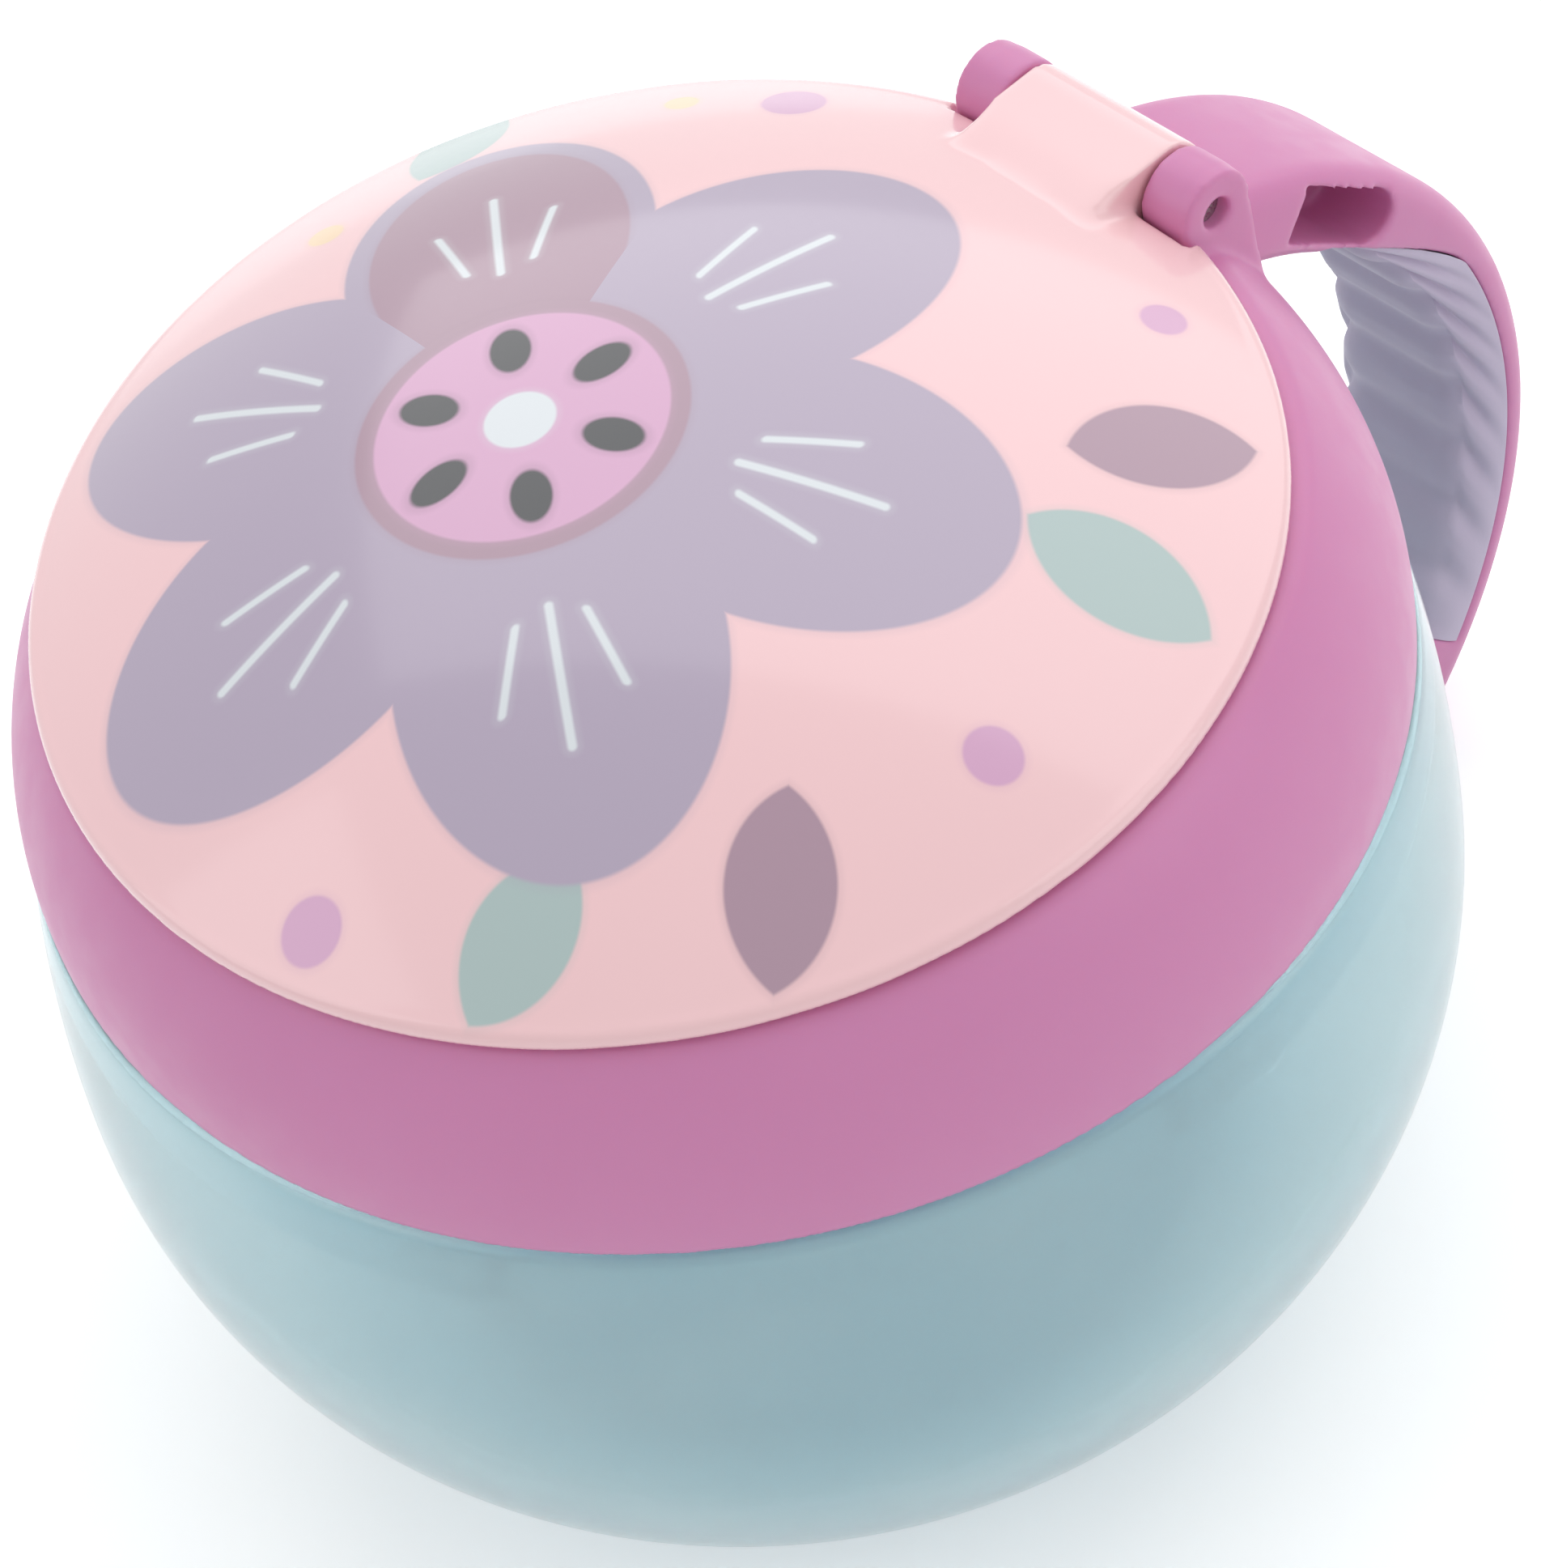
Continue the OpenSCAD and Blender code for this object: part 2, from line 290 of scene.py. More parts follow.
THREAD_STARTS = 3
THREAD_SPAN = math.radians(165)
THREAD_RISE = 5.2
THREAD_LOW = SHOULDER_Z + 2.2
THREAD_H = 0.65
THREAD_W = 0.9


def thread_height(angle, z):
    """How far the thread stands out of the neck at an angle and height."""
    out = 0.0
    for k in range(THREAD_STARTS):
        turn = (angle - k * TAU / THREAD_STARTS) % TAU
        if turn > THREAD_SPAN:
            continue
        along = turn / THREAD_SPAN
        off = (z - THREAD_LOW - THREAD_RISE * along) / THREAD_W
        ends = min(1.0, 12 * along, 12 * (1 - along))
        out = max(out, THREAD_H * ends * max(0.0, min(1.0, 1.6 * (1 - abs(off)))))
    return out


def bowl_r(z, inset=0.0):
    """Radius of the cup's wall at a height, drawn in by an inset."""
    if z < BELLY_Z:
        return CUP_R - CORNER_R + math.sqrt((CORNER_R - inset) ** 2 - (BELLY_Z - z) ** 2)
    return CUP_R - SIDE_R + math.sqrt((SIDE_R - inset) ** 2 - (z - BELLY_Z) ** 2)


def cup_profile(angle):
    base_r = bowl_r(0)
    foot = 1.0
    pts = [(0, 0.9), (base_r - 6.5, 0.9), (base_r - 6.0, 0.8), (base_r - 5.5, 0.2), (base_r - 5.0, 0)]
    pts += [(base_r - 2 * foot, 0), (base_r - foot, 0.08), (base_r - 0.3 * foot, 0.35)]
    pts += [(bowl_r(z), z) for z in (0.8 + (BELLY_Z - 0.8) * i / 40 for i in range(41))]
    top = SHOULDER_Z
    pts += [(bowl_r(z), z) for z in (BELLY_Z + (top - 0.8 - BELLY_Z) * i / 16 for i in range(1, 17))]
    shoulder_r = bowl_r(top - 0.8)
    pts += [(shoulder_r - 0.15, top - 0.4), (shoulder_r - 0.45, top - 0.12), (shoulder_r - 0.9, top)]
    pts += [(NECK_R + 0.5, top), (NECK_R + 0.12, top + 0.12), (NECK_R, top + 0.5)]
    pts += [(NECK_R + thread_height(angle, z), z) for z in
            (top + 0.8 + (NECK_H - 1.4) * i / 34 for i in range(35))]
    pts += [(NECK_R, NECK_TOP - 0.4), (NECK_R - 0.3, NECK_TOP - 0.08), (NECK_R - 0.6, NECK_TOP)]
    pts += [(NECK_IN + 0.6, NECK_TOP), (NECK_IN + 0.15, NECK_TOP - 0.15), (NECK_IN, NECK_TOP - 0.6)]
    inner_top = top - CUP_WALL
    pts += [(NECK_IN, inner_top + 1.6), (NECK_IN + 0.2, inner_top + 0.8), (NECK_IN + 0.8, inner_top + 0.2)]
    pts += [(bowl_r(inner_top, CUP_WALL) - 2.6, inner_top)]
    pts += arc(bowl_r(inner_top, CUP_WALL) - 2.6, inner_top - 2.4, 2.4, 80, 10, 6)
    pts += [(bowl_r(z, CUP_WALL), z) for z in
            (inner_top - 2.6 - (inner_top - 2.6 - BELLY_Z) * i / 14 for i in range(1, 14))]
    low = CUP_FLOOR + 2.2
    pts += [(bowl_r(z, CUP_WALL), z) for z in (BELLY_Z - (BELLY_Z - low) * i / 36 for i in range(37))]
    floor_r = bowl_r(low, CUP_WALL)
    pts += [(floor_r - 0.9, low - 0.9), (floor_r - 2.2, low - 1.7), (floor_r - 4.2, CUP_FLOOR)]
    pts += [(0, CUP_FLOOR)]
    return pts


def make_cup():
    obj = revolve("cup_bowl", cup_profile, steps=288, sharp=60, wrap=False)
    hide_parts("cup")
    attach(obj, "cup_body")
    return obj


# The collar with its handle

UPRIGHT_Z = COLLAR_Z + 2.0
ARC_IN = COLLAR_R - SHOWN_LIP_R
ARC_UP = LID_Z - RIM_GAP - UPRIGHT_Z
SHELL_R = (ARC_IN ** 2 + ARC_UP ** 2) / (2 * ARC_IN)


def seat_z(r, angle, above=-RIM_GAP):
    """Height of a plane parallel to the lid's seat, at a radius and angle."""
    y = r * math.sin(angle) + LID_SHIFT
    return LID_Z + (above + y * math.sin(LID_TILT)) / math.cos(LID_TILT)


def shell_r(z):
    return COLLAR_R - SHELL_R + math.sqrt(SHELL_R ** 2 - (z - UPRIGHT_Z) ** 2)


def soft_corner(start, corner, end, n=8):
    """Points of a rounded corner between two places."""
    pts = []
    for i in range(n + 1):
        t = i / n
        pts.append(tuple((1 - t) ** 2 * p + 2 * t * (1 - t) * q + t ** 2 * e
                         for p, q, e in zip(start, corner, end)))
    return pts


def collar_profile(angle):
    top = seat_z(SHOWN_LIP_R, angle)
    top = seat_z(shell_r(top), angle)
    corner = (shell_r(top), top)
    below = top - LIP_SOFT * 0.75
    inward = corner[0] - LIP_SOFT
    pts = [(shell_r(z), z) for z in (COLLAR_Z + (below - COLLAR_Z) * i / 24 for i in range(24))]
    pts += soft_corner((shell_r(below), below), corner, (inward, seat_z(inward, angle)))
    pts += [(LEDGE_R, seat_z(LEDGE_R, angle)), (LEDGE_R, ROOF_TOP), (MOUTH_R, ROOF_TOP), (MOUTH_R, ROOF_Z)]
    pts += [(BORE_R, ROOF_Z), (BORE_R, COLLAR_Z)]
    return pts


def handle_bar(name, r0, r1, half, rounding, a0, a1, steps=96):
    """A rounded bar swept along the handle's arc."""
    outline = section(r0, r1, half, rounding, rounding)
    rings = []
    for i in range(steps + 1):
        a = a0 + (a1 - a0) * i / steps
        rings.append([about_handle(r, a, x) for r, x in outline])
    verts, faces = skin(rings)
    return make_object(name, verts, faces)


def handle_tip(name, steps=64):
    """The handle's rounded free end, a round-edged disc on its side."""
    cx, cy, cz = about_handle(MID_R, TIP_A, 0)
    half = HANDLE_W / 2
    big = HANDLE_T / 2
    side = [(0, -half), (big - EDGE_R, -half)]
    side += arc(big - EDGE_R, -half + EDGE_R, EDGE_R, -80, 0, 8)
    side += arc(big - EDGE_R, half - EDGE_R, EDGE_R, 0, 80, 8)
    side += [(big - EDGE_R, half), (0, half)]
    rings = []
    for j in range(steps):
        a = TAU * j / steps
        rings.append([(x, cy + rho * math.cos(a), cz + rho * math.sin(a)) for rho, x in side])
    verts, faces = skin(rings, loop_rows=True, loop_cols=False)
    return make_object(name, verts, faces)


def grip_end(r):
    """Angle of the grip's leaning upper end at a radius of the handle's arc."""
    start = HANDLE_R - HANDLE_T + GRIP_LIP
    ty = start * math.cos(GRIP_TOP_A)
    tz = start * math.sin(GRIP_TOP_A)
    ry = math.cos(GRIP_LEAN)
    rz = math.sin(GRIP_LEAN)
    along = ty * ry + tz * rz
    t = -along + math.sqrt(max(0.0, along ** 2 - start ** 2 + r ** 2))
    into = max(0.0, r - (HANDLE_R - STRIP_T - GRIP_CORNER))
    drop = GRIP_CORNER - math.sqrt(max(0.0, GRIP_CORNER ** 2 - into ** 2))
    return math.atan2(tz + t * rz, ty + t * ry) - drop / r


def grip_zone(name, slack):
    """The part of the handle that the soft grip takes up, as a slab across it."""
    outer = HANDLE_R - STRIP_T + slack
    inner = HANDLE_R - HANDLE_T + GRIP_LIP
    low = GRIP_LOW_A
    pts = [(outer, low + (grip_end(outer) - low) * i / 60) for i in range(61)]
    pts += [(r, grip_end(r)) for r in (outer - (outer - inner) * i / 12 for i in range(1, 13))]
    pts += [(inner - 4, GRIP_TOP_A), (inner - 4, low)]
    outline = [about_handle(r, a, 0)[1:] for r, a in pts]
    return prism_x(name, outline, -HANDLE_W, HANDLE_W)


POCKET_A = math.radians(52.2)
POCKET_W = 4.6
POCKET_R = MID_R - 0.1
POCKET_L = 11.6
POCKET_DEPTH = 7.0


def pocket_outline():
    """The pocket's D outline in the handle's side, as (y, z)."""
    half = POCKET_W / 2
    run = POCKET_L - POCKET_W
    pts = [(x, y - run / 2) for x, y in arc(0, 0, half, 180, 360, 20)]
    pts += [(half, run / 2 + half), (-half, run / 2 + half)]
    ca = math.cos(POCKET_A)
    sa = math.sin(POCKET_A)
    out = []
    for x, y in pts:
        out.append((ARC_Y + (POCKET_R + x) * ca - y * sa, ARC_Z + (POCKET_R + x) * sa + y * ca))
    return out


def ear(side):
    """One ear: a round boss towards the knuckle and a flat plate outside it."""
    y = HINGE_Y
    z = HINGE_Z
    r = KNUCKLE_R - 0.1
    plate = [(py, pz) for py, pz in arc(y, z, r, -10, 180, 30)]
    plate += [(y - r, ROOF_TOP - 3), (y + KNUCKLE_R + 0.4, ROOF_TOP - 3)]
    neck = [(y - KNUCKLE_R + 0.6, ROOF_TOP - 3), (y + KNUCKLE_R - 0.6, ROOF_TOP - 3),
            (y + KNUCKLE_R - 0.6, z), (y - KNUCKLE_R + 0.6, z)]
    lo, hi = (EAR_STEP, EAR_OUT) if side > 0 else (-EAR_OUT, -EAR_STEP)
    flat = prism_x("plate", plate, lo, hi)
    lo, hi = (EAR_IN, EAR_STEP + 0.2) if side > 0 else (-EAR_STEP - 0.2, -EAR_IN)
    boss = bar_x("boss", y, z, KNUCKLE_R, lo, hi)
    stem = prism_x("stem", neck, lo, hi)
    return [flat, boss, stem]


def disc_z(name, r, z0, z1, steps=160):
    rings = [[(r * math.cos(TAU * i / steps), r * math.sin(TAU * i / steps), z) for i in range(steps)]
             for z in (z0, z1)]
    verts, faces = skin(rings)
    return make_object(name, verts, faces)


def make_collar():
    obj = handle_bar("collar_shell", HANDLE_R - HANDLE_T, HANDLE_R, HANDLE_W / 2, EDGE_R, TIP_A, ROOT_A)
    boolean(obj, grip_zone("zone", 0.0), "DIFFERENCE")
    boolean(obj, handle_tip("tip"), "UNION")
    boolean(obj, prism_x("pocket", pocket_outline(), HANDLE_W / 2 - POCKET_DEPTH, HANDLE_W), "DIFFERENCE")
    boolean(obj, prism_x("pocket", pocket_outline(), -HANDLE_W, POCKET_DEPTH - HANDLE_W / 2), "DIFFERENCE")
    boolean(obj, revolve("ring", collar_profile, sharp=40), "UNION")
    boolean(obj, disc_z("room", LEDGE_R, ROOF_TOP, ROOF_TOP + 40), "DIFFERENCE")
    for side in (-1, 1):
        for part in ear(side):
            boolean(obj, part, "UNION")
    boolean(obj, disc_z("bore", BORE_R, COLLAR_Z - 20, ROOF_Z), "DIFFERENCE")
    swing = KNUCKLE_R + HINGE_GAP
    boolean(obj, bar_x("swing", HINGE_Y, HINGE_Z, swing, -EAR_IN, EAR_IN), "DIFFERENCE")
    boolean(obj, bar_x("hole", HINGE_Y, HINGE_Z, PIN_HOLE_R, -EAR_OUT - 1, EAR_OUT + 1), "DIFFERENCE")
    blend_in(obj, 0.3, 6)
    shade(obj, 180)
    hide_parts("collar")
    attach(obj, "collar_body")
    return obj


# The soft grip

GRIP_IN = HANDLE_R - HANDLE_T
GRIP_OUT = HANDLE_R - STRIP_T
GRIP_ROUND = 3.9
RIDGE_DIP = 0.7


def grip_outline():
    """The grip's section in fine steps, each point with the way into the rubber."""
    corners = section(GRIP_IN, GRIP_OUT - 0.05, HANDLE_W / 2, GRIP_ROUND, 0.25, n=12)
    fine = []
    for (r0, x0), (r1, x1) in zip(corners, corners[1:] + corners[:1]):
        steps = max(1, int(math.hypot(r1 - r0, x1 - x0) / 0.5))
        fine += [(r0 + (r1 - r0) * i / steps, x0 + (x1 - x0) * i / steps) for i in range(steps)]
    out = []
    for i, (r, x) in enumerate(fine):
        r0, x0 = fine[i - 1]
        r1, x1 = fine[(i + 1) % len(fine)]
        length = math.hypot(r1 - r0, x1 - x0)
        nr = (x1 - x0) / length
        nx = (r0 - r1) / length
        inward = 1 if nr * (GRIP_OUT - r) - nx * x > 0 else -1
        out.append((r, x, nr * inward, nx * inward))
    return out


def grip_ring(u, outline):
    """One ring of the grip, u from its low end (0) to its upper end (1)."""
    ridge = 0.5 - 0.5 * math.cos(TAU * (u * (RIDGES + 1) - 0.5))
    ends = min(1.0, 14 * u, 14 * (1 - u))
    dip = RIDGE_DIP * ends * ridge ** 1.5
    ring = []
    for r, x, nr, nx in outline:
        depth = max(0.0, (GRIP_OUT - r) / (GRIP_OUT - GRIP_IN))
        push = dip * min(1.0, max(0.0, depth - 0.12) * 2.2)
        a = GRIP_LOW_A + u * (grip_end(max(r, GRIP_IN + GRIP_LIP)) - GRIP_LOW_A)
        ring.append(about_handle(r + nr * push, a, x + nx * push))
    return ring


def make_grip():
    outline = grip_outline()
    steps = 260
    rings = [grip_ring(0.0008 + 0.9984 * i / steps, outline) for i in range(steps + 1)]
    verts, faces = skin(rings)
    obj = make_object("grip_pad", verts, faces, sharp=50)
    bevel(obj, 0.25, segments=3, angle=50)
    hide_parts("handle_grip")
    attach(obj, "collar_body")
    return obj


# The lid

def lid_point(x, y, z):
    """From the lid's own frame to the part's."""
    ct = math.cos(LID_TILT)
    st = math.sin(LID_TILT)
    return (x, y * ct - z * st - LID_SHIFT, LID_Z + y * st + z * ct)


LID_FRAME = Matrix.Translation((0, -LID_SHIFT, LID_Z)) @ Matrix.Rotation(LID_TILT, 4, "X")


def dome_z(r, inset=0.0):
    return DOME_C + math.sqrt((DOME_R - inset) ** 2 - r ** 2)


def lid_profile(angle):
    edge = 0.9
    pts = [(r, dome_z(r)) for r in ((LID_R - edge) * i / 60 for i in range(61))]
    top = dome_z(LID_R - edge)
    pts += [(LID_R - 0.45, top - 0.18), (LID_R - 0.12, top - 0.5), (LID_R, top - 0.9)]
    pts += [(LID_R, 0.4), (LID_R - 0.12, 0.12), (LID_R - 0.4, 0)]
    inner_r = LID_R - LID_WALL
    pts += [(inner_r - 0.2, 0.0)]
    rib_out = LID_R - 7
    rib_in = rib_out - 1.6
    pts += [(rib_out + 0.3, dome_z(rib_out + 0.3, LID_WALL)), (rib_out, dome_z(rib_out, LID_WALL) - 0.3)]
    pts += [(rib_out, -0.5), (rib_out - 0.3, -0.8), (rib_in + 0.3, -0.8), (rib_in, -0.5)]
    pts += [(rib_in, dome_z(rib_in, LID_WALL) - 0.3)]
    pts += [(r, dome_z(r, LID_WALL)) for r in ((rib_in - 0.3) * (1 - i / 50) for i in range(51))]
    return pts


def knuckle_outline():
    """The knuckle's arm in side view: a flat top that runs forward onto the dome."""
    y = HINGE_Y
    z = HINGE_Z
    pts = arc(y, z, KNUCKLE_R, 90, -90, 30)
    pts += [(y - 2.5, z - 2.4), (y - 4, z - 1.6), (y - 9, z - 0.4)]
    pts += [(y - 11.5, z + 1.2), (y - 9.5, z + 2.3), (y - 7.5, z + 3.0), (y - 5, z + 3.4)]
    return pts


def near_knuckle(p):
    """Where the knuckle's arm runs into the dome."""
    off = max(abs(p.x) - (KNUCKLE_HALF + 1.5), 0.0)
    ahead = HINGE_Y - 3.4 - p.y
    if ahead < 0 or ahead > 13:
        return 0.0
    return max(0.0, 1.0 - off / 2.5) * min(1.0, ahead / 1.5, (13 - ahead) / 3)


def round_dome(obj):
    """Puts the dome's outside exactly on its sphere, clear of the rim and the knuckle."""
    back = LID_FRAME.inverted()
    for vert in obj.data.vertices:
        q = back @ (vert.co / MM)
        rho = math.hypot(q.x, q.y)
        away = rho < LID_R - 1.6
        if not away or q.z < 1.0:
            continue
        beside = abs(q.x) > KNUCKLE_HALF + 5
        if not (beside or q.y < LID_R - 18):
            continue
        arm = Vector((q.x, q.y, q.z - DOME_C))
        if abs(arm.length - DOME_R) < 0.15:
            arm *= DOME_R / arm.length
            vert.co = (LID_FRAME @ Vector((arm.x, arm.y, arm.z + DOME_C))) * MM


def make_lid():
    obj = revolve("lid_dome", lid_profile, steps=288, sharp=40, wrap=False)
    obj.data.transform(Matrix.Scale(MM, 4) @ LID_FRAME @ Matrix.Scale(1 / MM, 4))
    arm = prism_x("arm", knuckle_outline(), -KNUCKLE_HALF, KNUCKLE_HALF)
    boolean(obj, arm, "UNION")
    swing = KNUCKLE_R + HINGE_GAP
    for lo, hi in ((KNUCKLE_HALF, EAR_OUT + 0.4), (-EAR_OUT - 0.4, -KNUCKLE_HALF)):
        boolean(obj, bar_x("swing", HINGE_Y, HINGE_Z, swing, lo, hi), "DIFFERENCE")
    boolean(obj, bar_x("hole", HINGE_Y, HINGE_Z, PIN_HOLE_R, -14, 14), "DIFFERENCE")
    blend_in(obj, 0.27, 4)
    soften_near(obj, near_knuckle, 60)
    round_dome(obj)
    shade(obj, 180)
    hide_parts("lid")
    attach(obj, "lid_body")
    return obj


# Node materials

class Graph:
    """A material's node tree, with short calls for the nodes used here."""

    def __init__(self, name):
        self.material = bpy.data.materials.new(name)
        self.material.use_nodes = True
        self.tree = self.material.node_tree
        self.tree.nodes.clear()
        self.out = self.tree.nodes.new("ShaderNodeOutputMaterial")
        self.coord = self.tree.nodes.new("ShaderNodeTexCoord").outputs["Object"]

    def link(self, value, socket):
        if isinstance(value, bpy.types.NodeSocket):
            self.tree.links.new(value, socket)
        else:
            socket.default_value = value

    def node(self, kind, values=(), **settings):
        node = self.tree.nodes.new(kind)
        for key, value in settings.items():
            setattr(node, key, value)
        for key, value in dict(values).items():
            self.link(value, node.inputs[key])
        return node

    def math(self, operation, *values, clamp=False):
        node = self.node("ShaderNodeMath", operation=operation, use_clamp=clamp)
        for i, value in enumerate(values):
            self.link(value, node.inputs[i])
        return node.outputs[0]

    def mix(self, fac, a, b):
        node = self.node("ShaderNodeMix", data_type="RGBA")
        self.link(fac, node.inputs[0])
        self.link(a, node.inputs[6])
        self.link(b, node.inputs[7])
        return node.outputs[2]

    def noise(self, scale, detail=3.0, roughness=0.5):
        values = {"Vector": self.coord, "Scale": scale, "Detail": detail, "Roughness": roughness}
        return self.node("ShaderNodeTexNoise", values).outputs[0]

    def ramp(self, value, low, high, out_low=0.0, out_high=1.0):
        values = {0: value, 1: low, 2: high, 3: out_low, 4: out_high}
        return self.node("ShaderNodeMapRange", values, interpolation_type="SMOOTHSTEP").outputs[0]

    def bump(self, height, distance, strength=1.0):
        values = {"Height": height, "Distance": distance * MM, "Strength": strength}
        return self.node("ShaderNodeBump", values).outputs[0]

    def shader(self, **values):
        names = {key.replace("_", " "): value for key, value in values.items()}
        node = self.node("ShaderNodeBsdfPrincipled", names)
        self.tree.links.new(node.outputs[0], self.out.inputs[0])
        return self.material


def tint(color, amount):
    return tuple(min(1.0, c * amount) for c in color[:3]) + (1.0,)


def cup_material():
    g = Graph("cup_aqua")
    base = srgb(242, 251, 252)
    deep = srgb(150, 214, 232)
    z = g.node("ShaderNodeSeparateXYZ", {0: g.coord}).outputs[2]
    # Painted shade: the colour deepens towards the bottom, from 17 mm down, standing in for light's longer
    # path through the thick base edge
    low = g.ramp(z, 2 * MM, 17 * MM, 0.5, 0.0)
    cloud = g.ramp(g.noise(40.0), 0.3, 0.7, 0.0, 0.12)
    color = g.mix(g.math("ADD", low, cloud, clamp=True), base, deep)
    grain = g.bump(g.noise(900.0, 2.0), 0.01, 0.3)
    tinted = g.node("ShaderNodeVolumeAbsorption")
    tinted.inputs["Color"].default_value = (0.08, 0.66, 0.76, 1.0)
    tinted.inputs["Density"].default_value = 54.0
    g.link(tinted.outputs[0], g.out.inputs["Volume"])
    return g.shader(Base_Color=color, Roughness=0.14, IOR=1.36, Transmission_Weight=0.78,
                    Normal=grain)


def collar_material():
    g = Graph("collar_orchid")
    cloud = g.ramp(g.noise(25.0), 0.3, 0.7)
    color = g.mix(cloud, srgb(217, 139, 186), srgb(213, 134, 181))
    grain = g.bump(g.noise(2600.0, 2.0), 0.012, 0.5)
    rough = g.ramp(g.noise(300.0), 0.3, 0.7, 0.34, 0.42)
    return g.shader(Base_Color=color, Roughness=rough, Normal=grain, IOR=1.46,
                    Subsurface_Weight=0.12, Subsurface_Scale=0.002)


def grip_material():
    g = Graph("grip_rubber")
    cloud = g.ramp(g.noise(60.0), 0.3, 0.7)
    color = g.mix(cloud, srgb(206, 194, 216), srgb(199, 187, 210))
    grain = g.bump(g.noise(1800.0, 3.0), 0.03, 0.5)
    return g.shader(Base_Color=color, Roughness=0.62, Normal=grain, Sheen_Weight=0.25,
                    Sheen_Roughness=0.4)


def silicone_material():
    g = Graph("mouth_silicone")
    cloud = g.ramp(g.noise(80.0), 0.3, 0.7)
    color = g.mix(cloud, srgb(238, 226, 230), srgb(232, 218, 224))
    grain = g.bump(g.noise(1400.0, 2.0), 0.02, 0.4)
    return g.shader(Base_Color=color, Roughness=0.48, Normal=grain, Subsurface_Weight=0.3,
                    Subsurface_Scale=0.003)


def seal_material():
    g = Graph("seal_silicone")
    cloud = g.ramp(g.noise(90.0), 0.3, 0.7)
    color = g.mix(cloud, srgb(236, 238, 238), srgb(226, 230, 231))
    grain = g.bump(g.noise(1400.0, 2.0), 0.02, 0.4)
    return g.shader(Base_Color=color, Roughness=0.5, Normal=grain)


def steel_material():
    g = Graph("pin_steel")
    stretch = g.node("ShaderNodeMapping", {"Vector": g.coord, "Scale": (300.0, 4000.0, 4000.0)})
    lines = g.node("ShaderNodeTexNoise", {"Vector": stretch.outputs[0], "Scale": 1.0}).outputs[0]
    rough = g.ramp(lines, 0.3, 0.7, 0.24, 0.38)
    color = g.mix(lines, srgb(168, 164, 162), srgb(190, 187, 184))
    return g.shader(Base_Color=color, Metallic=1.0, Roughness=rough, Normal=g.bump(lines, 0.01, 0.3))


# The lid's print: a large blossom with leaves, drawn from distances in millimetres

LILAC = srgb(182, 167, 189)
MAUVE = srgb(176, 143, 161)
ORCHID = srgb(220, 168, 203)
CHARCOAL = srgb(44, 46, 51)
CHALK = srgb(226, 231, 235)
MINT = srgb(176, 196, 194)
BLUSH = srgb(252, 207, 210)
BUTTER = srgb(248, 214, 170)
PETALS = 6
PRINT_EDGE = 0.16


def disc_sdf(g, x, y, cx, cy, r):
    dx = g.math("SUBTRACT", x, cx)
    dy = g.math("SUBTRACT", y, cy)
    sum_sq = g.math("ADD", g.math("MULTIPLY", dx, dx), g.math("MULTIPLY", dy, dy))
    return g.math("SUBTRACT", g.math("SQRT", sum_sq), r)


def oval_sdf(g, x, y, cx, rx, ry):
    """About the distance to an oval whose long axis lies along x."""
    u = g.math("DIVIDE", g.math("SUBTRACT", x, cx), rx)
    v = g.math("DIVIDE", y, ry)
    length = g.math("SQRT", g.math("ADD", g.math("MULTIPLY", u, u), g.math("MULTIPLY", v, v)))
    return g.math("MULTIPLY", g.math("SUBTRACT", length, 1.0), min(rx, ry))


def stroke_sdf(g, x, y, x0, x1, r):
    """A rounded stroke along x from x0 to x1."""
    near = g.math("MINIMUM", g.math("MAXIMUM", x, x0), x1)
    dx = g.math("SUBTRACT", x, near)
    length = g.math("SQRT", g.math("ADD", g.math("MULTIPLY", dx, dx), g.math("MULTIPLY", y, y)))
    return g.math("SUBTRACT", length, r)


def turned(g, x, y, cx, cy, degrees):
    """Coordinates about (cx, cy), turned so that x runs that way."""
    ca = math.cos(math.radians(degrees))
    sa = math.sin(math.radians(degrees))
    dx = g.math("SUBTRACT", x, cx)
    dy = g.math("SUBTRACT", y, cy)
    u = g.math("ADD", g.math("MULTIPLY", dx, ca), g.math("MULTIPLY", dy, sa))
    v = g.math("SUBTRACT", g.math("MULTIPLY", dy, ca), g.math("MULTIPLY", dx, sa))
    return u, v


def leaf_sdf(g, x, y, cx, cy, degrees, length, width):
    """A pointed leaf where two discs overlap, on a line that starts at (cx, cy)."""
    u, v = turned(g, x, y, cx, cy, degrees)
    half = length / 2
    sag = width / 2
    r = (half ** 2 + sag ** 2) / (2 * sag)
    low = disc_sdf(g, u, v, half, sag - r, r)
    high = disc_sdf(g, u, v, half, r - sag, r)
    return g.math("SUBTRACT", g.math("MAXIMUM", low, high), 0.8)


def paint(g, color, sdf, ink, edge=PRINT_EDGE):
    """Lays an ink over a colour inside a shape, with a faint soft edge round it."""
    cover = g.ramp(sdf, -edge, edge, 1.0, 0.0)
    halo = g.ramp(sdf, 0.0, 0.7, 0.16, 0.0)
    color = g.mix(halo, color, tint(ink, 0.9))
    return g.mix(cover, color, ink)


